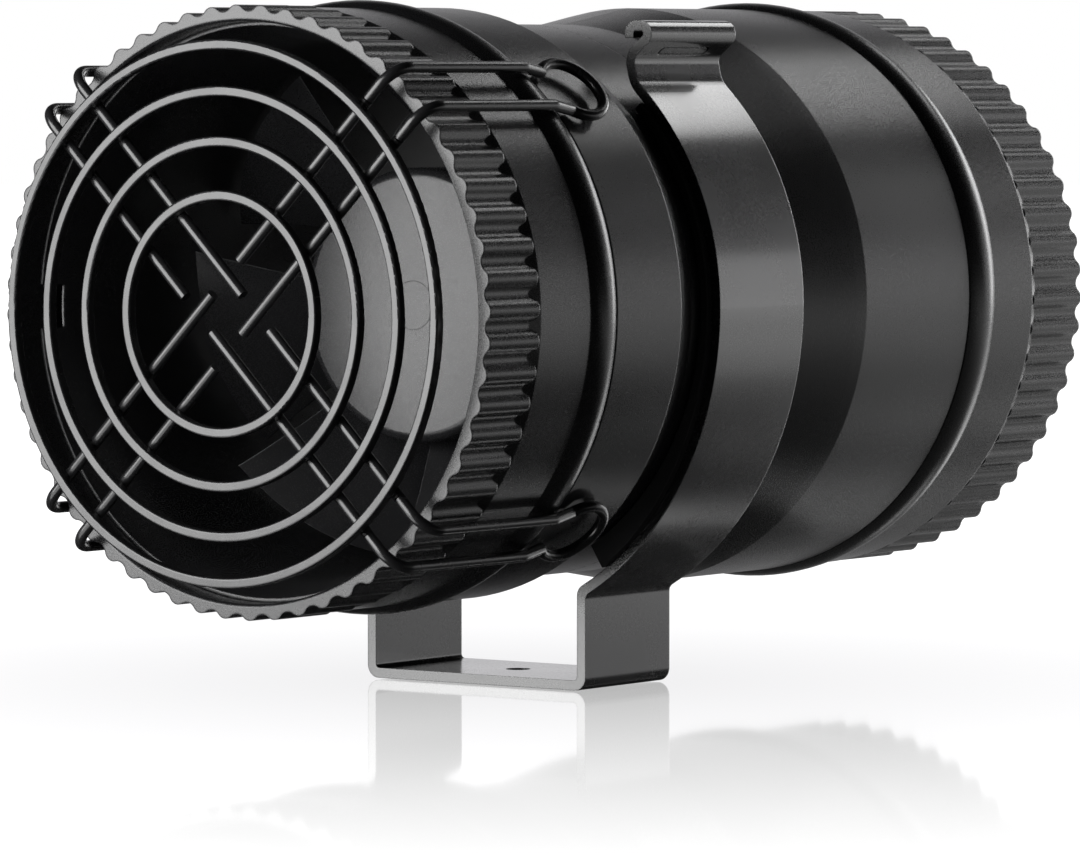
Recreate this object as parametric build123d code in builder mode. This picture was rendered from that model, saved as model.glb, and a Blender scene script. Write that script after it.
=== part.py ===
"""Wave maker pump: a ducted propeller pump held by its waist in a sprung sheet-metal bracket.

Frame: +Z up. The duct's axis runs along Y, with the guarded outlet facing -Y.
The origin is the centre of the bolt hole, on the underside of the bracket's foot.
"""
from build123d import *
from math import cos, radians, sin, sqrt, tan
import os

# ---- Driving dimensions, in millimetres --------------------------------------------------------
collar_radius = 60.0          # mean radius of the fluted part of each collar
axis_height = 78.8            # duct axis above the underside of the foot
front_end = -91.8             # y of the front collar's face
rear_end = 123.9              # y of the rear collar's face

flute_count = 60
flute_swing = 0.65            # crest and trough stand this far from the mean radius
collar_bore = 57.4
fit_gap = 0.08                # radial running clearance
part_gap = 0.3                # gap between pieces that only pass each other

duct_radius = 53.5
front_barrel_radius = 60.4
rear_barrel_radius = 60.8
waist_radius = 57.2
front_shoulder = -27.4        # y where the front cylinder drops to the waist
rear_shoulder = 39.1          # y where the rear cylinder begins
rear_slope_start = 16.0       # y where the waist starts to widen towards the rear cylinder
socket_depth = 12.0           # the front half's tongue reaches this far into the rear half
tongue_radius = 55.4

strip_width = 30.0
strip_thickness = 2.1
strap_outer_radius = 61.2     # above the axis; below it the strap is half an ellipse
strap_drop = 5.2              # the ellipse's extra half height
leg_outer_x = 27.9
strap_top_angle = 45.0        # the strap leaves the circle this far above the horizontal
foot_hole_radius = 2.6
liner_inner_radius = 57.5
liner_width = 33.2            # the rubber shows a little at each side of the strap

wire_radius = 1.15
ring_width = 2.0
ring_depth = 2.3
ring_corner = 0.45
ring_radii = (23.3, 33.85, 43.7, 52.8)
ring_plane = front_end - 6.85
spoke_plane = ring_plane + ring_depth / 2 + wire_radius
spoke_offset = 5.3            # each spoke lies this far from its clip's diagonal
short_spoke_start = 9.7
flex_radius = 54.35           # where an arm bends when its eye is lifted
flex_gap = 0.3
arm_radius = 63.1             # clears the bead
low_arm_radius = 61.9         # hugs the flutes
hook_radius = 61.65
eye_tip_radius = 62.9
clip_angles = (45, 135, 225, 315)
low_clip_angles = (135, 225)

hub_radius = 28.0
hub_front = -36.2
hub_rear = -9.4
blade_count = 7
blade_tip_radius = 52.3
blade_phase = 142.0

pod_radius = 27.5
pod_front = -8.6
pod_rear = 62.0
pod_cavity_radius = 25.0
vane_angles = (36, 108, 180, 252, 324)
vane_front = 28.0
vane_rear = 60.0
shaft_radius = 3.0
lead_y = 50.0
lead_radius = 1.5
magnet_radius = 11.6
can_radius = 13.0
gland_bore_radius = 3.0
gland_stem_radius = 6.0

# ---- Shared planes and shapes ------------------------------------------------------------------
barrel_axis = Axis((0, 0, axis_height), (0, -1, 0))
profile_plane = Plane(origin=(0, 0, axis_height), x_dir=(0, 1, 0), z_dir=(1, 0, 0))
front_face = Plane(origin=(0, front_end, axis_height), x_dir=(1, 0, 0), z_dir=(0, -1, 0))
rear_face = Plane(origin=(0, rear_end, axis_height), x_dir=(-1, 0, 0), z_dir=(0, 1, 0))


def cross_plane(y):
    """Plane across the duct at y, seen from the front: x to +X, y up, normal towards -Y."""
    return Plane(origin=(0, y, axis_height), x_dir=(1, 0, 0), z_dir=(0, -1, 0))


def radial_plane(angle):
    """Plane through the duct's axis: x along +Y, y outward at this angle as seen from the front."""
    normal = (sin(radians(angle)), 0, -cos(radians(angle)))
    return Plane(origin=(0, 0, axis_height), x_dir=(0, 1, 0), z_dir=normal)


def depth_plane(face, angle=90):
    """Plane through the duct's axis: x is the depth behind an end face, y the radius."""
    outward = face.x_dir * cos(radians(angle)) + face.y_dir * sin(radians(angle))
    return Plane(origin=face.origin, x_dir=-face.z_dir, z_dir=(-face.z_dir).cross(outward))


def at_angle(angle, radius, y):
    """Point at a polar position round the duct's axis."""
    return Vector(radius * cos(radians(angle)), y, axis_height + radius * sin(radians(angle)))


def outward_plane(angle, radius, y):
    """Plane facing outward from the duct's axis."""
    outward = (cos(radians(angle)), 0, sin(radians(angle)))
    return Plane(origin=at_angle(angle, radius, y), x_dir=(0, 1, 0), z_dir=outward)


def clip_point(angle, along, across, y):
    """Point beside a clip's diagonal: along it, and across it on its clockwise side."""
    outward = at_angle(angle, along, y)
    sideways = Vector(sin(radians(angle)), 0, -cos(radians(angle)))
    return outward + sideways * across


def tube(y_from, y_to, inner, outer):
    """Plain ring about the duct's axis."""
    with BuildPart() as ring:
        with BuildSketch(cross_plane(y_to)):
            Circle(outer)
            if inner > 0:
                Circle(inner, mode=Mode.SUBTRACT)
        extrude(amount=y_to - y_from)
    return ring.part


def finish(piece, name):
    """Label a finished piece and write its file."""
    piece.label = name
    export_step(piece, f"parts/{name}.step")


os.makedirs("parts", exist_ok=True)

# ---- Bracket -----------------------------------------------------------------------------------
strap_inner_radius = strap_outer_radius - strip_thickness
strap_middle = strap_outer_radius - strip_thickness / 2
leg_inner_x = leg_outer_x - strip_thickness


def strap_outline(radius):
    """Half a circle above the duct's axis, and half an ellipse below it."""
    with BuildSketch() as outline:
        Ellipse(radius, radius + strap_drop)
        Rectangle(4 * radius, 2 * radius, align=(Align.CENTER, Align.MIN), mode=Mode.SUBTRACT)
        Circle(radius)
    return outline.sketch


def strap_depth(radius, x):
    """Height of the strap's lower half at x, from the duct's axis."""
    return -(radius + strap_drop) * sqrt(1 - (x / radius) ** 2)


def polar(radius, angle):
    """Point in the cross plane."""
    return (radius * cos(radians(angle)), radius * sin(radians(angle)))


leg_top = strap_depth(strap_inner_radius, leg_inner_x)
strip_bends = (
    ((leg_outer_x, -axis_height), 2.8),
    ((leg_inner_x, strip_thickness - axis_height), 0.9),
    ((leg_outer_x, strap_depth(strap_outer_radius, leg_outer_x)), 1.6),
    ((leg_inner_x, leg_top), 2.6),
)
# The strip leaves the circle, turns up, flares outward, and rolls back over into a finger tab.
lip_corners = (
    (39.97, 45.09),
    (38.74, 50.56),
    (43.25, 54.29),
    (43.25, 56.75),
    (38.75, 56.75),
    (38.75, 54.20),
)
lip_bends = (6.0, 3.2, 1.6, 1.6, 1.6)
# A slot-shaped bead is pressed into the flare's outer face.
press_plane = Plane(origin=(41.67, 0, axis_height + 51.62), x_dir=(0, 1, 0), z_dir=(0.637, 0, -0.771))
press_length = 17.0
press_width = 2.6
press_line = 0.5
press_depth = 0.35

with BuildPart() as bracket:
    with BuildSketch(cross_plane(strip_width / 2)) as strip:
        add(strap_outline(strap_outer_radius))
        add(strap_outline(strap_inner_radius), mode=Mode.SUBTRACT)
        with BuildLine():
            Polyline((0, 0), polar(4 * strap_middle, strap_top_angle), (0, 300), close=True)
        make_face(mode=Mode.SUBTRACT)
        split(bisect_by=Plane.YZ)
        Rectangle(leg_inner_x, 2 * axis_height, align=(Align.MIN, Align.MAX), mode=Mode.SUBTRACT)
        with Locations((leg_inner_x, -axis_height)):
            Rectangle(strip_thickness, axis_height + leg_top, align=Align.MIN)
        with Locations((0, -axis_height)):
            Rectangle(leg_outer_x, strip_thickness, align=Align.MIN)
        for corner, bend in strip_bends:
            fillet(strip.vertices().sort_by_distance(corner)[0], radius=bend)
        with BuildLine():
            FilletPolyline(polar(strap_middle, strap_top_angle), *lip_corners, radius=lip_bends)
        trace(line_width=strip_thickness)
    extrude(amount=strip_width)
    with BuildSketch(press_plane):
        SlotOverall(press_length, press_width)
        SlotOverall(press_length - 2 * press_line, press_width - 2 * press_line, mode=Mode.SUBTRACT)
    extrude(amount=-press_depth, mode=Mode.SUBTRACT)
    mirror(about=Plane.YZ)
    with BuildSketch(Plane.XY):
        Circle(foot_hole_radius)
    extrude(amount=strip_thickness, mode=Mode.SUBTRACT)
finish(bracket.part, "bracket")

# ---- Rubber liners -----------------------------------------------------------------------------
liner_ends = (-58, 44)        # angles round the duct's axis
for name, side in (("liner_right", 1), ("liner_left", -1)):
    with BuildPart() as liner:
        with BuildSketch(cross_plane(liner_width / 2)):
            add(strap_outline(strap_inner_radius))
            Circle(liner_inner_radius, mode=Mode.SUBTRACT)
            with BuildLine():
                corners = [polar(3 * strap_middle, angle) for angle in (*liner_ends, 0)]
                mirrored = [(side * x, y) for x, y in corners]
                Polyline((0, 0), mirrored[0], mirrored[2], mirrored[1], close=True)
            make_face(mode=Mode.INTERSECT)
        extrude(amount=liner_width)
    finish(liner.part, name)

# ---- Fluted collars ----------------------------------------------------------------------------
# Each collar twists off: three lugs inside it run in the barrel's bayonet tracks.
lug_angles = (30, 150, 270)
lug_depths = (31.0, 35.0)
lug_width = 8.0
lug_height = 1.8
twist = 30.0
front_collar_length = 42.0
rear_collar_length = 45.0


def arc_block(face, start, width, depths, radii):
    """Block bent round the duct's axis, from a start angle, between two depths and two radii."""
    with BuildPart() as block:
        with BuildSketch(depth_plane(face, start)):
            with Locations((depths[0], radii[0])):
                Rectangle(depths[1] - depths[0], radii[1] - radii[0], align=Align.MIN)
        revolve(axis=Axis(face.origin, face.z_dir), revolution_arc=width)
    return block.part


def flute_wave(face, length):
    """Crests and troughs round the end, one arc each, run back from the end face."""
    step = 180 / flute_count
    with BuildPart() as wave:
        with BuildSketch(face):
            with BuildLine():
                for half in range(2 * flute_count):
                    swing = flute_swing if half % 2 == 0 else -flute_swing
                    angles = (half * step, (half + 0.5) * step, (half + 1) * step)
                    radii = (collar_radius, collar_radius + swing, collar_radius)
                    ThreePointArc(*map(polar, radii, angles))
            make_face()
            Circle(collar_bore + 0.4, mode=Mode.SUBTRACT)
        extrude(amount=-length)
    return wave.part


def collar(face, flute_length, band_radius, bead, length):
    """Collar behind its end face; bead holds the start and crest depths and the crest radius."""
    root_radius = collar_radius - flute_swing - 0.1
    bead_start, bead_crest, bead_radius = bead
    with BuildPart() as ring:
        with BuildSketch(depth_plane(face)):
            with BuildLine():
                Polyline(
                    (length, band_radius + 0.1),
                    (length, collar_bore),
                    (0.5, collar_bore),
                    (0, collar_bore + 0.5),
                    (0, root_radius),
                    (flute_length - 3.2, root_radius),
                    (flute_length, band_radius),
                    (bead_start, band_radius),
                )
                ThreePointArc(
                    (bead_start, band_radius), (bead_crest, bead_radius), (length, band_radius + 0.1)
                )
            make_face()
        revolve(axis=barrel_axis)
        add(flute_wave(face, flute_length - 0.8))
        for angle in lug_angles:
            lug_radii = (collar_bore - lug_height, collar_bore + 0.5)
            add(arc_block(face, angle - lug_width / 2, lug_width, lug_depths, lug_radii))
    return ring.part


front_collar = collar(front_face, 17.0, 60.2, (33.5, 38.2, 61.8), front_collar_length)
finish(front_collar, "front_collar")
rear_collar = collar(rear_face, 20.0, 60.7, (35.4, 39.8, 62.2), rear_collar_length)
finish(rear_collar, "rear_collar")

# ---- Barrel halves -----------------------------------------------------------------------------
spigot_radius = collar_bore - fit_gap
spigot_depth = 6.0            # the spigot starts this far behind the collar's face
mouth_radius = 56.6
mouth_length = 22.0           # the bell mouth narrows to the duct over this depth
rear_bore = 55.5              # holds the guide vane ring
vane_ring_rear = 75.0


def cut_bayonet(face):
    """Tracks for the collar's lugs, to be cut from the barrel's spigot."""
    radii = (collar_bore - lug_height - part_gap, collar_bore + 1)
    track = (lug_depths[0] - part_gap, lug_depths[1] + part_gap)
    entry = (spigot_depth - 1, track[1])
    margin = 0.5
    for angle in lug_angles:
        start = angle - lug_width / 2 - margin
        width = lug_width + 2 * margin
        add(arc_block(face, start, width + twist, track, radii), mode=Mode.SUBTRACT)
        add(arc_block(face, start + twist, width, entry, radii), mode=Mode.SUBTRACT)


front_spigot_end = front_end + front_collar_length + part_gap
with BuildPart() as front_barrel:
    with BuildSketch(profile_plane):
        with BuildLine():
            start = front_end + spigot_depth
            Polyline(
                (start + mouth_length, duct_radius),
                (socket_depth, duct_radius),
                (socket_depth, tongue_radius),
                (0, tongue_radius),
                (0, waist_radius),
                (front_shoulder + 8.0, waist_radius),
                (front_shoulder + 1.2, front_barrel_radius - 0.7),
                (front_shoulder, front_barrel_radius),
                (front_spigot_end, front_barrel_radius),
                (front_spigot_end, spigot_radius),
                (start, spigot_radius),
                (start, mouth_radius),
            )
            ThreePointArc(
                (start, mouth_radius),
                (start + 0.4 * mouth_length, duct_radius + 0.32 * (mouth_radius - duct_radius)),
                (start + mouth_length, duct_radius),
            )
        make_face()
    revolve(axis=barrel_axis)
    cut_bayonet(front_face)
finish(front_barrel.part, "front_barrel")

rear_spigot_end = rear_end - rear_collar_length - part_gap
with BuildPart() as rear_barrel:
    with BuildSketch(profile_plane):
        with BuildLine():
            start = rear_end - spigot_depth
            Polyline(
                (start - mouth_length, duct_radius),
                (vane_ring_rear, duct_radius),
                (vane_ring_rear, rear_bore),
                (0, rear_bore),
                (0, waist_radius),
                (rear_slope_start, waist_radius),
                (rear_shoulder - 3.1, rear_barrel_radius - 0.45),
                (rear_shoulder, rear_barrel_radius),
                (rear_spigot_end, rear_barrel_radius),
                (rear_spigot_end, spigot_radius),
                (start, spigot_radius),
                (start, mouth_radius),
            )
            ThreePointArc(
                (start, mouth_radius),
                (start - 0.4 * mouth_length, duct_radius + 0.32 * (mouth_radius - duct_radius)),
                (start - mouth_length, duct_radius),
            )
        make_face()
    revolve(axis=barrel_axis)
    cut_bayonet(rear_face)
    with BuildSketch(outward_plane(180, 70, lead_y)):
        Circle(gland_stem_radius)
    extrude(amount=-20, mode=Mode.SUBTRACT)
finish(rear_barrel.part, "rear_barrel")

# ---- Guide vanes and motor housing -------------------------------------------------------------
vane_sleeve_radius = 29.2
vane_thickness = 2.6
lead_vane_thickness = 5.0
lead_channel_radius = 1.8

with BuildPart() as guide_vanes:
    add(tube(socket_depth + 0.2, vane_ring_rear - 0.2, duct_radius, rear_bore - 0.05))
    add(tube(vane_front, vane_rear - 1, pod_radius, vane_sleeve_radius))
    for angle in vane_angles:
        thickness = lead_vane_thickness if angle == 180 else vane_thickness
        with BuildSketch(radial_plane(angle)):
            with Locations((vane_front, vane_sleeve_radius - 0.5)):
                Rectangle(vane_rear + 7 - vane_front, duct_radius - vane_sleeve_radius + 1, align=Align.MIN)
            with BuildLine():
                Polyline(
                    (vane_rear - 1, vane_sleeve_radius - 1),
                    (vane_rear + 8, vane_sleeve_radius - 1),
                    (vane_rear + 8, duct_radius - 6),
                    close=True,
                )
            make_face(mode=Mode.SUBTRACT)
        extrude(amount=thickness / 2, both=True)
    lead_way = outward_plane(180, 60, lead_y)
    with BuildSketch(lead_way):
        Circle(lead_channel_radius)
    extrude(amount=-40, mode=Mode.SUBTRACT)
finish(guide_vanes.part, "guide_vanes")

front_wall = 3.6
front_boss_rear = 2.0
front_boss_radius = 10.0
bearing_radius = 6.0
tail_screw_y = 59.6
tail_screw_radius = 1.0
tail_screw_angles = (0, 120, 240)
with BuildPart() as motor_housing:
    with BuildSketch(profile_plane):
        with BuildLine():
            Polyline(
                (pod_front, bearing_radius),
                (front_boss_rear, bearing_radius),
                (front_boss_rear, front_boss_radius),
                (pod_front + front_wall, front_boss_radius),
                (pod_front + front_wall, pod_cavity_radius),
                (pod_rear, pod_cavity_radius),
                (pod_rear, pod_radius),
                (pod_front + 1.5, pod_radius),
                (pod_front, pod_radius - 1.5),
                close=True,
            )
        make_face()
    revolve(axis=barrel_axis)
    with BuildSketch(lead_way):
        Circle(lead_channel_radius)
    extrude(amount=-40, mode=Mode.SUBTRACT)
    for angle in tail_screw_angles:
        with BuildSketch(outward_plane(angle, pod_radius, tail_screw_y)):
            Circle(tail_screw_radius)
        extrude(amount=-4, mode=Mode.SUBTRACT)
finish(motor_housing.part, "motor_housing")

tail_end = 90.0
tail_plug = 9.0               # the tail cone reaches this far into the housing
tail_seal_y = 56.0
rear_bearing_front = 42.0
bearing_length = 8.0
tail_boss_radius = 10.0
seal_section = 1.2
with BuildPart() as tail_cone:
    with BuildSketch(profile_plane):
        with BuildLine():
            plug_front = pod_rear - tail_plug
            bearing_rear = rear_bearing_front + bearing_length
            seal_floor = pod_cavity_radius - 1.5 * seal_section
            Polyline(
                (plug_front, pod_cavity_radius),
                (plug_front, tail_boss_radius),
                (rear_bearing_front, tail_boss_radius),
                (rear_bearing_front, bearing_radius),
                (bearing_rear, bearing_radius),
                (bearing_rear, shaft_radius + 1.5),
                (bearing_rear + 5, shaft_radius + 1.5),
                (bearing_rear + 5, 0),
                (tail_end, 0),
            )
            ThreePointArc((tail_end, 0), (tail_end - 7, 13.0), (pod_rear, pod_radius))
            Polyline(
                (pod_rear, pod_radius),
                (pod_rear, pod_cavity_radius),
                (tail_seal_y + seal_section, pod_cavity_radius),
                (tail_seal_y + seal_section, seal_floor),
                (tail_seal_y - seal_section, seal_floor),
                (tail_seal_y - seal_section, pod_cavity_radius),
                (plug_front, pod_cavity_radius),
            )
        make_face()
    revolve(axis=barrel_axis)
    for angle in tail_screw_angles:
        with BuildSketch(outward_plane(angle, pod_radius, tail_screw_y)):
            Circle(tail_screw_radius)
        extrude(amount=-8.0, mode=Mode.SUBTRACT)
finish(tail_cone.part, "tail_cone")

with BuildPart() as tail_seal:
    with BuildSketch(profile_plane):
        with Locations((tail_seal_y, pod_cavity_radius - 0.72 * seal_section)):
            Ellipse(seal_section - 0.05, 0.7 * seal_section)
    revolve(axis=barrel_axis)
finish(tail_seal.part, "tail_seal")

with BuildPart() as tail_screws:
    for angle in tail_screw_angles:
        with BuildSketch(outward_plane(angle, pod_radius - 0.1, tail_screw_y)):
            Circle(tail_screw_radius)
        extrude(amount=-7.0)
finish(tail_screws.part, "tail_screws")

# ---- Motor: stator, can, rotor -----------------------------------------------------------------
stator_front = 8.0
stator_rear = 34.0
tooth_count = 9
yoke_radius = 21.0
tooth_root = 15.4
tooth_width = 4.0
coil_width = 2.4
coil_overhang = 3.0
can_wall = 0.8

with BuildPart() as stator_core:
    with BuildSketch(cross_plane(stator_rear)):
        Circle(pod_cavity_radius - 0.05)
        Circle(yoke_radius, mode=Mode.SUBTRACT)
        with PolarLocations(0, tooth_count):
            with Locations(((can_radius + yoke_radius) / 2 + 1, 0)):
                Rectangle(yoke_radius - can_radius + 1, tooth_width)
        with PolarLocations(0, tooth_count):
            with BuildLine():
                spread = tooth_root * tan(radians(16))
                Polyline((0, 0), (tooth_root, -spread), (tooth_root, spread), close=True)
            make_face()
        Circle(can_radius + 0.1, mode=Mode.SUBTRACT)
    extrude(amount=stator_rear - stator_front)
finish(stator_core.part, "stator_core")

with BuildPart() as stator_windings:
    coil_inner = tooth_width / 2 + 0.1
    coil_outer = coil_inner + coil_width
    coil_top = yoke_radius - 0.7
    for index in range(tooth_count):
        angle = index * 360 / tooth_count
        with BuildSketch(outward_plane(angle, coil_top, (stator_front + stator_rear) / 2)):
            core_length = stator_rear - stator_front + 0.2
            RectangleRounded(core_length + 2 * coil_overhang, 2 * coil_outer, 2.0)
            Rectangle(core_length, 2 * coil_inner, mode=Mode.SUBTRACT)
        extrude(amount=tooth_root + 0.7 - coil_top)
finish(stator_windings.part, "stator_windings")

rotor_can = tube(pod_front + front_wall, pod_rear - tail_plug, can_radius - can_wall, can_radius)
finish(rotor_can, "rotor_can")

front_bearing = tube(pod_front + 1.0, front_boss_rear, shaft_radius + 0.05, bearing_radius)
finish(front_bearing, "front_bearing")
rear_bearing = tube(
    rear_bearing_front, rear_bearing_front + bearing_length, shaft_radius + 0.05, bearing_radius
)
finish(rear_bearing, "rear_bearing")

shaft_front = -31.0
shaft = tube(shaft_front, rear_bearing_front + bearing_length + 2, 0, shaft_radius)
finish(shaft, "shaft")

magnet_ends = (9.0, 33.0)
sleeve_radius = 7.0
rotor_magnet = tube(*magnet_ends, sleeve_radius, magnet_radius)
finish(rotor_magnet, "rotor_magnet")
rotor_sleeve = tube(magnet_ends[0] - 3, magnet_ends[1] + 3, shaft_radius, sleeve_radius)
finish(rotor_sleeve, "rotor_sleeve")

washer_thickness = 1.0
with BuildPart() as thrust_washers:
    add(tube(front_boss_rear + 0.4, front_boss_rear + 0.4 + washer_thickness, shaft_radius, 5.5))
    add(tube(rear_bearing_front - 0.4 - washer_thickness, rear_bearing_front - 0.4, shaft_radius, 5.5))
finish(thrust_washers.part, "thrust_washers")

# ---- Lead and gland ----------------------------------------------------------------------------
gland_seat = rear_barrel_radius
gland_nut_ends = (66.4, 74.4)
seal_ends = (62.0, 70.0)
with BuildPart() as motor_lead:
    with BuildSketch(outward_plane(180, pod_cavity_radius - 2, lead_y)):
        Circle(lead_radius)
    extrude(amount=gland_seat - 6 - pod_cavity_radius + 2)
finish(motor_lead.part, "motor_lead")

with BuildPart() as gland_body:
    with BuildSketch(outward_plane(180, rear_bore + 0.1, lead_y)):
        Circle(gland_stem_radius - 0.1)
    extrude(amount=gland_nut_ends[1] - 2.5 - rear_bore)
    with BuildSketch(outward_plane(180, gland_seat + 0.05, lead_y)):
        RegularPolygon(8.0, 6)
    extrude(amount=gland_nut_ends[0] - gland_seat - 0.2)
    with BuildSketch(outward_plane(180, gland_seat - 5, lead_y)):
        Circle(gland_bore_radius + 1.4)
    extrude(amount=20, mode=Mode.SUBTRACT)
    with BuildSketch(outward_plane(180, gland_seat - 5, lead_y)):
        Circle(lead_channel_radius)
    extrude(amount=-4, mode=Mode.SUBTRACT)
finish(gland_body.part, "gland_body")

with BuildPart() as gland_seal:
    with BuildSketch(outward_plane(180, seal_ends[0], lead_y)):
        Circle(gland_bore_radius + 1.35)
        Circle(gland_bore_radius, mode=Mode.SUBTRACT)
    extrude(amount=seal_ends[1] - seal_ends[0])
finish(gland_seal.part, "gland_seal")

with BuildPart() as gland_nut:
    with BuildSketch(outward_plane(180, gland_nut_ends[0], lead_y)):
        RegularPolygon(8.2, 6)
        Circle(gland_stem_radius, mode=Mode.SUBTRACT)
    extrude(amount=gland_nut_ends[1] - gland_nut_ends[0] - 2.4)
    with BuildSketch(outward_plane(180, gland_nut_ends[1] - 2.4, lead_y)):
        Circle(7.4)
        Circle(gland_bore_radius + 0.3, mode=Mode.SUBTRACT)
    extrude(amount=2.4)
    outer_face_edges = gland_nut.edges().filter_by(GeomType.CIRCLE).sort_by(Axis.X)[:2]
    fillet(outer_face_edges.sort_by(SortBy.RADIUS)[-1], 1.6)
finish(gland_nut.part, "gland_nut")

# ---- Propeller ---------------------------------------------------------------------------------
# Each blade is a lens-shaped section on three planes out along its middle, trimmed at the tip.
blade_sections = (
    # plane distance, leading edge (angle, y), trailing edge (angle, y), thickness
    (24.0, (-23.0, -31.5), (10.0, -13.0), 3.4),
    (39.0, (-24.0, -38.5), (16.0, -21.5), 2.6),
    (53.0, (-25.5, -46.0), (22.5, -33.0), 1.9),
)
hub_wall = 2.6
hub_edge = 2.0
plug_radius = 5.0


def blade(angle):
    """One blade, swept from the hub to the running clearance in the duct."""
    with BuildPart() as one:
        for distance, (lead_angle, lead_edge), (trail_angle, trail_edge), thickness in blade_sections:
            with BuildSketch(outward_plane(angle, distance, 0)):
                with BuildLine():
                    # x runs along the duct and y round it, anticlockwise seen from the front
                    nose = Vector(lead_edge, distance * tan(radians(lead_angle)))
                    tail = Vector(trail_edge, distance * tan(radians(trail_angle)))
                    across = (tail - nose).rotate(Axis.Z, 90).normalized()
                    middle = (nose + tail) * 0.5 - across * 0.05 * (tail - nose).length
                    ThreePointArc(nose, middle + across * thickness / 2, tail)
                    ThreePointArc(tail, middle - across * thickness / 2, nose)
                make_face()
        loft()
        add(blade_room, mode=Mode.INTERSECT)
    return one.part


blade_room = tube(hub_front - 20, hub_rear, hub_radius - 1.5, blade_tip_radius)
with BuildPart() as propeller:
    for index in range(blade_count):
        add(blade(blade_phase + index * 360 / blade_count))
    with BuildSketch(profile_plane):
        with BuildLine():
            boss_radius = 7.0
            inner = hub_radius - hub_wall
            Polyline(
                (hub_front + hub_edge, hub_radius),
                (hub_rear, hub_radius),
                (hub_rear, inner),
                (hub_front + hub_wall + 2, inner),
                (hub_front + hub_wall, inner - 2),
                (hub_front + hub_wall, boss_radius),
                (hub_rear, boss_radius),
                (hub_rear, shaft_radius),
                (shaft_front, shaft_radius),
                (shaft_front, 1.6),
                (hub_front + 4.2, 1.6),
                (hub_front + 4.2, 3.6),
                (hub_front + 1.5, 3.6),
                (hub_front + 1.5, plug_radius),
                (hub_front, plug_radius),
                (hub_front, hub_radius - hub_edge),
            )
            RadiusArc(
                (hub_front, hub_radius - hub_edge), (hub_front + hub_edge, hub_radius), hub_edge
            )
        make_face()
    revolve(axis=barrel_axis)
finish(propeller.part, "propeller")

hub_plug = tube(hub_front, hub_front + 1.5, 0, plug_radius - 0.05)
finish(hub_plug, "hub_plug")

with BuildPart() as propeller_screw:
    add(tube(hub_front + 1.8, hub_front + 4.2, 0, 3.4))
    add(tube(hub_front + 4.2, shaft_front, 0, 1.5))
finish(propeller_screw.part, "propeller_screw")

# ---- Wire guard --------------------------------------------------------------------------------
for number, radius in enumerate(ring_radii, start=1):
    with BuildPart() as guard_ring:
        with BuildSketch(profile_plane):
            with Locations((ring_plane, radius)):
                RectangleRounded(ring_depth, ring_width, ring_corner)
        revolve(axis=barrel_axis)
    finish(guard_ring.part, f"guard_ring_{number}")


def wire(points, bends):
    """Round wire through points, with a bend radius at each corner."""
    with BuildPart() as piece:
        with BuildLine() as path:
            if len(points) > 2:
                FilletPolyline(*points, radius=bends)
            else:
                Line(*points)
        with BuildSketch(path.line ^ 0):
            Circle(wire_radius)
        sweep()
    return piece.part


arm_bend = 5.0
hook_bend = 4.0
joggle_depths = (29.0, 34.0)  # where a low arm rises to pass over the bead
bead_depth = 37.6             # the arm starts to dip here, behind the bead's crest
neck_depth = 45.0
eye_tip_depth = 57.0


def clip_arm(angle):
    """Sprung arm pair that runs back over the bead and joins in a round finger eye."""
    route = [(arm_radius, spoke_plane - front_end)]
    if angle in low_clip_angles:
        route = [
            (low_arm_radius, spoke_plane - front_end),
            (low_arm_radius, joggle_depths[0]),
            (arm_radius, joggle_depths[1]),
        ]
    route.append((arm_radius, bead_depth))
    bends = [arm_bend] + [hook_bend] * (len(route) - 1)
    neck = (hook_radius, neck_depth)
    with BuildPart() as arm:
        for side in (-1, 1):
            across = side * spoke_offset
            start = clip_point(angle, flex_radius + flex_gap / 2, across, spoke_plane)
            knees = [clip_point(angle, along, across, front_end + depth) for along, depth in (*route, neck)]
            add(wire([start, *knees], bends))
            with Locations(knees[-1]):
                Sphere(wire_radius)
        with BuildLine() as eye:
            ThreePointArc(
                clip_point(angle, hook_radius, -spoke_offset, front_end + neck_depth),
                clip_point(angle, eye_tip_radius, 0, front_end + eye_tip_depth),
                clip_point(angle, hook_radius, spoke_offset, front_end + neck_depth),
            )
        with BuildSketch(eye.line ^ 0):
            Circle(wire_radius)
        sweep()
    return arm.part


high_arm = clip_arm(clip_angles[0])
low_arm = clip_arm(low_clip_angles[0])
for number, angle in enumerate(clip_angles, start=1):
    with BuildPart() as spokes:
        for across, start in ((spoke_offset, 0), (-spoke_offset, short_spoke_start)):
            ends = (start, flex_radius - flex_gap / 2)
            add(wire([clip_point(angle, along, across, spoke_plane) for along in ends], None))
    finish(spokes.part, f"guard_spokes_{number}")
    if angle in low_clip_angles:
        arm = low_arm.rotate(barrel_axis, angle - low_clip_angles[0])
    else:
        arm = high_arm.rotate(barrel_axis, angle - clip_angles[0])
    finish(arm, f"clip_arm_{number}")

# ---- Rear grille -------------------------------------------------------------------------------
grille_ends = (rear_end - 5.2, rear_end - 2.0)
grille_rings = ((55.0, 57.35), (43.0, 45.2), (30.5, 32.7), (18.0, 20.2), (0, 7.5))
grille_spoke_count = 6
grille_spoke_width = 2.6
with BuildPart() as rear_grille:
    for inner, outer in grille_rings:
        add(tube(*grille_ends, inner, outer))
    with BuildSketch(cross_plane(grille_ends[1])):
        with PolarLocations(0, grille_spoke_count):
            Rectangle(55.6, grille_spoke_width, align=(Align.MIN, Align.CENTER))
    extrude(amount=grille_ends[1] - grille_ends[0])
finish(rear_grille.part, "rear_grille")
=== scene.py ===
"""Looks of the wave maker pump: materials, light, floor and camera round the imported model."""
from math import cos, pi, radians, sin

import bmesh
import bpy
from mathutils import Matrix, Vector


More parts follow.
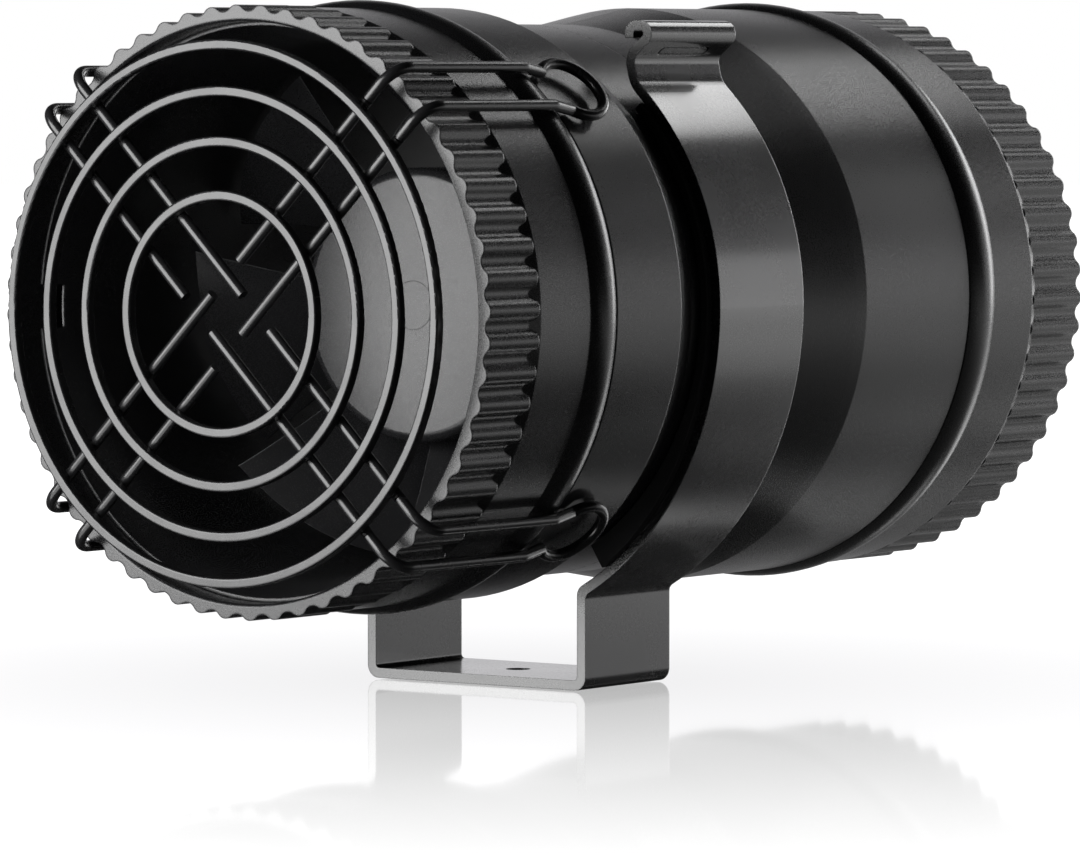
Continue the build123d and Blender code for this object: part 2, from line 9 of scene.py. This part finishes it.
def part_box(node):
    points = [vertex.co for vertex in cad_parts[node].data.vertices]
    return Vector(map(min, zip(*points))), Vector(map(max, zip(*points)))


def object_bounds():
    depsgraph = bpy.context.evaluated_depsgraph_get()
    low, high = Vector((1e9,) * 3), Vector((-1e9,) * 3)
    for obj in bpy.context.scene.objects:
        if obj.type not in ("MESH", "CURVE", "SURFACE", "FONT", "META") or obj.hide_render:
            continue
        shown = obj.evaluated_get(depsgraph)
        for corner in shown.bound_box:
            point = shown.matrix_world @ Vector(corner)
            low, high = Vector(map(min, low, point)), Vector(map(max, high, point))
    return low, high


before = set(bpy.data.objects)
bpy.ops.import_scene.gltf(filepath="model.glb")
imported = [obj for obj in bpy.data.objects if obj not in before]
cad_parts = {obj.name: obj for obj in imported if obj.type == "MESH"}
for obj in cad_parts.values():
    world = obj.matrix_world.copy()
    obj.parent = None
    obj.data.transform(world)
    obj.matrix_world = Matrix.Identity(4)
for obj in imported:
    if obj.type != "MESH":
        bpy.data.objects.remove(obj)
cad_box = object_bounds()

scene = bpy.context.scene


# ---- Node helpers --------------------------------------------------------------------------------
def set_range(node, low, high, to_low, to_high):
    """Fill in a map range node."""
    numbers = {"From Min": low, "From Max": high, "To Min": to_low, "To Max": to_high}
    for key, number in numbers.items():
        node.inputs[key].default_value = number


class Nodes:
    """A material's node tree, with short calls for the nodes that the finishes share."""

    def __init__(self, name):
        self.material = bpy.data.materials.new(name)
        self.material.use_nodes = True
        self.tree = self.material.node_tree
        self.shader = self.tree.nodes["Principled BSDF"]
        self.place = self.add("ShaderNodeTexCoord").outputs["Object"]

    def add(self, kind, **values):
        node = self.tree.nodes.new(kind)
        for key, value in values.items():
            setattr(node, key, value)
        return node

    def link(self, source, target):
        self.tree.links.new(source, target)

    def noise(self, scale, detail=2.0, roughness=0.5, stretch=None):
        """Noise between about 0 and 1, at this many features a metre."""
        node = self.add("ShaderNodeTexNoise")
        node.inputs["Scale"].default_value = scale
        node.inputs["Detail"].default_value = detail
        node.inputs["Roughness"].default_value = roughness
        place = self.place
        if stretch:
            mapping = self.add("ShaderNodeMapping")
            mapping.inputs["Scale"].default_value = stretch
            self.link(place, mapping.inputs["Vector"])
            place = mapping.outputs["Vector"]
        self.link(place, node.inputs["Vector"])
        return node.outputs["Fac"]

    def spread(self, value, low, high, to_low, to_high):
        """Map a value from one range to another, clamped."""
        node = self.add("ShaderNodeMapRange")
        self.link(value, node.inputs["Value"])
        set_range(node, low, high, to_low, to_high)
        return node.outputs["Result"]

    def math(self, operation, first, second):
        node = self.add("ShaderNodeMath", operation=operation)
        for socket, value in zip(node.inputs, (first, second)):
            if isinstance(value, (int, float)):
                socket.default_value = value
            else:
                self.link(value, socket)
        return node.outputs["Value"]

    def mix(self, share, low, high):
        """Mix of two colours."""
        node = self.add("ShaderNodeMix", data_type="RGBA")
        self.link(share, node.inputs["Factor"])
        for socket, value in (("A", low), ("B", high)):
            target = next(s for s in node.inputs if s.name == socket and s.type == "RGBA")
            if isinstance(value, tuple):
                target.default_value = (*value, 1.0)
            else:
                self.link(value, target)
        return next(s for s in node.outputs if s.type == "RGBA")

    def edges(self, radius):
        """Rounded normal for the edges, and a mask that is 1 on them and 0 on the flats."""
        bevel = self.add("ShaderNodeBevel", samples=6)
        bevel.inputs["Radius"].default_value = radius
        geometry = self.add("ShaderNodeNewGeometry")
        dot = self.add("ShaderNodeVectorMath", operation="DOT_PRODUCT")
        self.link(bevel.outputs["Normal"], dot.inputs[0])
        self.link(geometry.outputs["Normal"], dot.inputs[1])
        mask = self.spread(dot.outputs["Value"], 0.995, 0.86, 0.0, 1.0)
        return bevel.outputs["Normal"], mask

    def bump(self, height, distance, normal=None, strength=1.0):
        node = self.add("ShaderNodeBump")
        node.inputs["Strength"].default_value = strength
        node.inputs["Distance"].default_value = distance
        self.link(height, node.inputs["Height"])
        if normal is not None:
            self.link(normal, node.inputs["Normal"])
        return node.outputs["Normal"]

    def set(self, **values):
        for key, value in values.items():
            self.shader.inputs[key.replace("_", " ")].default_value = value

    def drive(self, **sources):
        for key, source in sources.items():
            self.link(source, self.shader.inputs[key.replace("_", " ")])


# ---- Finishes ------------------------------------------------------------------------------------
def moulded(name, colour, worn, roughness, grain=0.00003, edge=0.00035):
    """Moulded plastic: fine spark-eroded grain, faint flow marks, edges rubbed a little brighter."""
    n = Nodes(name)
    rounded, edge_mask = n.edges(edge)
    flow = n.noise(38.0, detail=4.0, stretch=(1.0, 0.35, 1.0))
    fine = n.noise(3600.0, detail=3.0, roughness=0.62)
    scuff = n.noise(620.0, detail=5.0, roughness=0.7)
    rub = n.math("MULTIPLY", edge_mask, n.spread(scuff, 0.38, 0.66, 0.15, 0.85))
    tint = n.mix(n.spread(flow, 0.3, 0.7, 0.0, 1.0), colour, tuple(c * 1.22 for c in colour))
    n.drive(Base_Color=n.mix(rub, tint, worn))
    tone = n.math("ADD", n.spread(flow, 0.25, 0.75, roughness - 0.035, roughness + 0.035),
                  n.spread(fine, 0.3, 0.7, -0.04, 0.05))
    n.drive(Roughness=n.math("SUBTRACT", tone, n.math("MULTIPLY", edge_mask, 0.07)))
    n.drive(Normal=n.bump(fine, grain, rounded, 0.55))
    n.set(Specular_IOR_Level=0.5)
    return n.material


def coated_metal(name, colour, worn, roughness, coat, edge, peel):
    """Sheet metal under a smooth dark coat, with faint orange peel and rubbed edges."""
    n = Nodes(name)
    rounded, edge_mask = n.edges(edge)
    cloud = n.noise(55.0, detail=4.0)
    skin = n.noise(900.0, detail=2.0)
    scuff = n.noise(1500.0, detail=5.0, roughness=0.72)
    rub = n.math("MULTIPLY", edge_mask, n.spread(scuff, 0.42, 0.64, 0.0, 0.75))
    n.drive(Base_Color=n.mix(rub, colour, worn))
    n.drive(Roughness=n.math("ADD", n.spread(cloud, 0.3, 0.7, roughness - 0.03, roughness + 0.03),
                             n.spread(scuff, 0.45, 0.75, 0.0, 0.05)))
    n.drive(Metallic=n.spread(rub, 0.0, 1.0, 0.0, 0.8))
    n.drive(Normal=n.bump(skin, peel, rounded, 0.35))
    n.set(Coat_Weight=coat, Coat_Roughness=0.16, Coat_IOR=1.5)
    return n.material


def bare_metal(name, colour, roughness, drawn=None, edge=0.0002):
    """Bare metal with fine drawing or turning marks."""
    n = Nodes(name)
    rounded, edge_mask = n.edges(edge)
    marks = n.noise(2600.0, detail=3.0, stretch=drawn)
    cloud = n.noise(160.0, detail=4.0)
    darker = tuple(c * 0.8 for c in colour)
    n.drive(Base_Color=n.mix(n.spread(cloud, 0.3, 0.7, 0.0, 1.0), colour, darker))
    n.drive(Roughness=n.math("ADD", n.spread(marks, 0.3, 0.7, roughness - 0.06, roughness + 0.08),
                             n.math("MULTIPLY", edge_mask, -0.05)))
    n.drive(Normal=n.bump(marks, 0.00002, rounded, 0.4))
    n.set(Metallic=1.0)
    return n.material


def soft_rubber(name, colour):
    """Matt black rubber with a dusty bloom."""
    n = Nodes(name)
    rounded, edge_mask = n.edges(0.0003)
    bloom = n.noise(120.0, detail=5.0, roughness=0.6)
    fine = n.noise(2400.0, detail=3.0)
    dusty = tuple(c * 1.8 for c in colour)
    n.drive(Base_Color=n.mix(n.spread(bloom, 0.35, 0.7, 0.0, 1.0), colour, dusty))
    n.drive(Roughness=n.math("SUBTRACT", n.spread(bloom, 0.3, 0.7, 0.72, 0.84),
                             n.math("MULTIPLY", edge_mask, 0.1)))
    n.drive(Normal=n.bump(fine, 0.00004, rounded, 0.5))
    n.set(Specular_IOR_Level=0.35)
    return n.material


def smooth_wire(name, colour, worn, roughness):
    """Steel wire under a thin glossy black coat: slight waviness, a few dull patches, no speckle."""
    n = Nodes(name)
    patch = n.noise(140.0, detail=3.0)
    skin = n.noise(420.0, detail=2.0)
    grime = n.spread(n.noise(900.0, detail=4.0, roughness=0.65), 0.62, 0.78, 0.0, 0.5)
    n.drive(Base_Color=n.mix(grime, colour, worn))
    n.drive(Roughness=n.spread(patch, 0.3, 0.7, roughness - 0.04, roughness + 0.06))
    n.drive(Normal=n.bump(skin, 0.00005, strength=0.3))
    return n.material


finishes = {
    "barrel_plastic": moulded(
        "barrel_plastic", (0.0090, 0.0090, 0.0096), (0.040, 0.040, 0.042), 0.29, edge=0.0006
    ),
    "collar_plastic": moulded(
        "collar_plastic", (0.010, 0.010, 0.0106), (0.05, 0.05, 0.053), 0.27, edge=0.0005
    ),
    "strap_metal": coated_metal(
        "strap_metal", (0.010, 0.010, 0.0105), (0.16, 0.16, 0.17), 0.26,
        coat=1.0, edge=0.0004, peel=0.000015,
    ),
    "guard_wire": smooth_wire("guard_wire", (0.011, 0.011, 0.0116), (0.045, 0.045, 0.047), 0.25),
    "propeller_plastic": moulded(
        "propeller_plastic", (0.014, 0.014, 0.0148), (0.03, 0.03, 0.032), 0.25, edge=0.0001
    ),
    "inner_plastic": moulded("inner_plastic", (0.020, 0.020, 0.021), (0.05, 0.05, 0.052), 0.42),
    "rubber": soft_rubber("rubber", (0.010, 0.010, 0.0105)),
    "steel": bare_metal("steel", (0.56, 0.55, 0.53), 0.28),
    "laminations": bare_metal("laminations", (0.34, 0.34, 0.35), 0.42, drawn=(1.0, 9.0, 1.0)),
    "copper": bare_metal("copper", (0.70, 0.28, 0.12), 0.30, drawn=(1.0, 0.15, 1.0)),
    "magnet": bare_metal("magnet", (0.16, 0.16, 0.165), 0.55),
    "ceramic": moulded("ceramic", (0.72, 0.70, 0.66), (0.80, 0.79, 0.76), 0.22, grain=0.00001),
}

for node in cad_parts.values():
    for slot in node.material_slots:
        slot.material = finishes[slot.material.name.split(".")[0]]


# ---- Camera --------------------------------------------------------------------------------------
# A long lens, 1.35 m from the guard, turned 36 degrees to the duct and raised 3 degrees.
AZIMUTH = radians(36.0)
ELEVATION = radians(3.0)
LENS = 228.9
FACE_RIGHT = -0.0585          # where the guarded face stands in the camera's own axes, in metres
FACE_UP = 0.02238
FACE_AWAY = 1.3506
low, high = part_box("front_collar")
face_centre = Vector(((low.x + high.x) / 2, low.y, (low.z + high.z) / 2))
forward = Vector((-sin(AZIMUTH) * cos(ELEVATION), cos(AZIMUTH) * cos(ELEVATION), -sin(ELEVATION)))
right = Vector((cos(AZIMUTH), sin(AZIMUTH), 0.0))
up = right.cross(forward)

camera = bpy.data.objects.new("camera", bpy.data.cameras.new("camera"))
scene.collection.objects.link(camera)
camera.data.lens = LENS
camera.data.sensor_width = 36.0
camera.data.clip_start = 0.05
camera.data.clip_end = 50.0
eye = face_centre - right * FACE_RIGHT - up * FACE_UP - forward * FACE_AWAY
camera.matrix_world = Matrix.Translation(eye) @ Matrix((right, up, -forward)).transposed().to_4x4()
scene.camera = camera


# ---- Light ---------------------------------------------------------------------------------------
def softbox(name, centre, target, width, height, radiance):
    """Soft area light facing its target, given by the brightness of its face."""
    data = bpy.data.lights.new(name, "AREA")
    data.shape = "RECTANGLE"
    data.size = width
    data.size_y = height
    data.energy = radiance * pi * width * height
    data.spread = pi
    lamp = bpy.data.objects.new(name, data)
    scene.collection.objects.link(lamp)
    turn = (target - centre).to_track_quat("-Z", "Y")
    lamp.matrix_world = Matrix.Translation(centre) @ turn.to_matrix().to_4x4()
    lamp.visible_camera = False


middle = (cad_box[0] + cad_box[1]) / 2
to_top = Vector((0.05, 0.81, 0.60)) * 1.6
to_right = Vector((0.56, 0.81, 0.02)) * 1.8
to_rim = Vector((0.05, 1.0, 0.06)) * 1.6
softbox("top_box", middle + to_top, middle, width=0.7, height=0.18, radiance=3.8)
softbox("right_box", middle + to_right, middle, width=0.50, height=0.56, radiance=0.95)
softbox("rim_box", middle + to_rim, middle, width=0.90, height=1.0, radiance=4.0)
# The front box stands close to the outlet, off the mirror line, so that the face shades across.
mirror = Vector((-sin(AZIMUTH), -cos(AZIMUTH), -0.05))
aside = Vector((cos(AZIMUTH), -sin(AZIMUTH), 0.0))
FRONT_ASIDE = 0.065
FRONT_AWAY = 0.32
front_target = face_centre + aside * FRONT_ASIDE
front_place = front_target + mirror * FRONT_AWAY
softbox("front_box", front_place, front_target, width=0.34, height=0.48, radiance=9.0)

# Pale wall behind, brighter where the floor mirrors it, and a dark room elsewhere.
BACK = Vector((-0.122, 0.9925, 0.0))
BRIGHT_PATCH = Vector((-0.586, 0.806, 0.08))
DARK_LEVEL = 0.02
WALL_LEVEL = 0.40
PATCH_LEVEL = 0.35
world = bpy.data.worlds.new("studio")
scene.world = world
world.use_nodes = True
tree = world.node_tree
tree.nodes.clear()


def world_node(kind, **values):
    """Node in the world's tree."""
    node = tree.nodes.new(kind)
    for key, value in values.items():
        setattr(node, key, value)
    return node


def world_spread(source, low, high, to_low, to_high):
    """Map a value smoothly from one range to another."""
    node = world_node("ShaderNodeMapRange", interpolation_type="SMOOTHSTEP")
    tree.links.new(source, node.inputs["Value"])
    set_range(node, low, high, to_low, to_high)
    return node.outputs["Result"]


def along(direction):
    """How nearly a ray points this way."""
    node = world_node("ShaderNodeVectorMath", operation="DOT_PRODUCT")
    tree.links.new(sky, node.inputs[0])
    node.inputs[1].default_value = direction
    return node.outputs["Value"]


sky = world_node("ShaderNodeTexCoord").outputs["Generated"]
apart = world_node("ShaderNodeSeparateXYZ")
tree.links.new(sky, apart.inputs["Vector"])
wall = world_spread(along(BACK), 0.60, 0.72, DARK_LEVEL, WALL_LEVEL)
height = world_spread(apart.outputs["Z"], 0.12, 0.40, 1.0, 0.2)
patch = world_spread(along(BRIGHT_PATCH), 0.90, 0.955, 0.0, PATCH_LEVEL)
level = world_node("ShaderNodeMath", operation="MULTIPLY_ADD")
tree.links.new(wall, level.inputs[0])
tree.links.new(height, level.inputs[1])
tree.links.new(patch, level.inputs[2])
seen = world_node("ShaderNodeBackground")
seen.inputs["Color"].default_value = (1.0, 1.0, 1.0, 1.0)
unseen = world_node("ShaderNodeBackground")
unseen.inputs["Color"].default_value = (0.985, 0.975, 1.0, 1.0)
tree.links.new(level.outputs["Value"], unseen.inputs["Strength"])
path = world_node("ShaderNodeLightPath")
choice = world_node("ShaderNodeMixShader")
output = world_node("ShaderNodeOutputWorld")
tree.links.new(path.outputs["Is Camera Ray"], choice.inputs["Fac"])
tree.links.new(unseen.outputs["Background"], choice.inputs[1])
tree.links.new(seen.outputs["Background"], choice.inputs[2])
tree.links.new(choice.outputs["Shader"], output.inputs["Surface"])


# ---- Floor ---------------------------------------------------------------------------------------
FLOOR_RADIUS = 6.0
FLOOR_GAP = 0.0002            # below the foot, so that the two faces don't flicker
FLOOR_WHITE = 1.5             # brightness to the camera, before the share that mirrors is taken off
NEAR_MIRROR = (0.03, 0.68)    # distance from the foot, and the share that mirrors there
FAR_MIRROR = (0.42, 0.20)
SHADED = (0.04, 0.03)         # y, and how much the floor lights the object from there
BRIGHT = (0.35, 0.95)


def make_floor():
    """White gloss table: even white, with a faint reflection that fades away from the foot."""
    mesh = bpy.data.meshes.new("floor")
    bm = bmesh.new()
    bmesh.ops.create_circle(bm, cap_ends=True, radius=FLOOR_RADIUS, segments=64)
    bm.to_mesh(mesh)
    bm.free()
    floor = bpy.data.objects.new("floor", mesh)
    scene.collection.objects.link(floor)
    floor.location.z = cad_box[0].z - FLOOR_GAP
    n = Nodes("floor")
    out = n.tree.nodes["Material Output"]
    n.tree.nodes.remove(n.shader)
    white = n.add("ShaderNodeEmission")
    apart = n.add("ShaderNodeSeparateXYZ")
    n.link(n.place, apart.inputs["Vector"])
    lit = n.spread(apart.outputs["Y"], SHADED[0], BRIGHT[0], SHADED[1], BRIGHT[1])
    ray = n.add("ShaderNodeLightPath").outputs["Is Camera Ray"]
    n.link(n.math("MAXIMUM", n.math("MULTIPLY", ray, FLOOR_WHITE), lit), white.inputs["Strength"])
    gloss = n.add("ShaderNodeBsdfGlossy")
    gloss.inputs["Roughness"].default_value = 0.05
    length = n.add("ShaderNodeVectorMath", operation="LENGTH")
    n.link(n.place, length.inputs[0])
    fade = n.spread(length.outputs["Value"], NEAR_MIRROR[0], FAR_MIRROR[0], NEAR_MIRROR[1], FAR_MIRROR[1])
    surface = n.add("ShaderNodeMixShader")
    n.link(fade, surface.inputs["Fac"])
    n.link(white.outputs["Emission"], surface.inputs[1])
    n.link(gloss.outputs["BSDF"], surface.inputs[2])
    n.link(surface.outputs["Shader"], out.inputs["Surface"])
    floor.data.materials.append(n.material)


make_floor()

scene.view_settings.view_transform = "Standard"
scene.view_settings.look = "None"
scene.view_settings.exposure = 0.0
scene.view_settings.gamma = 1.0
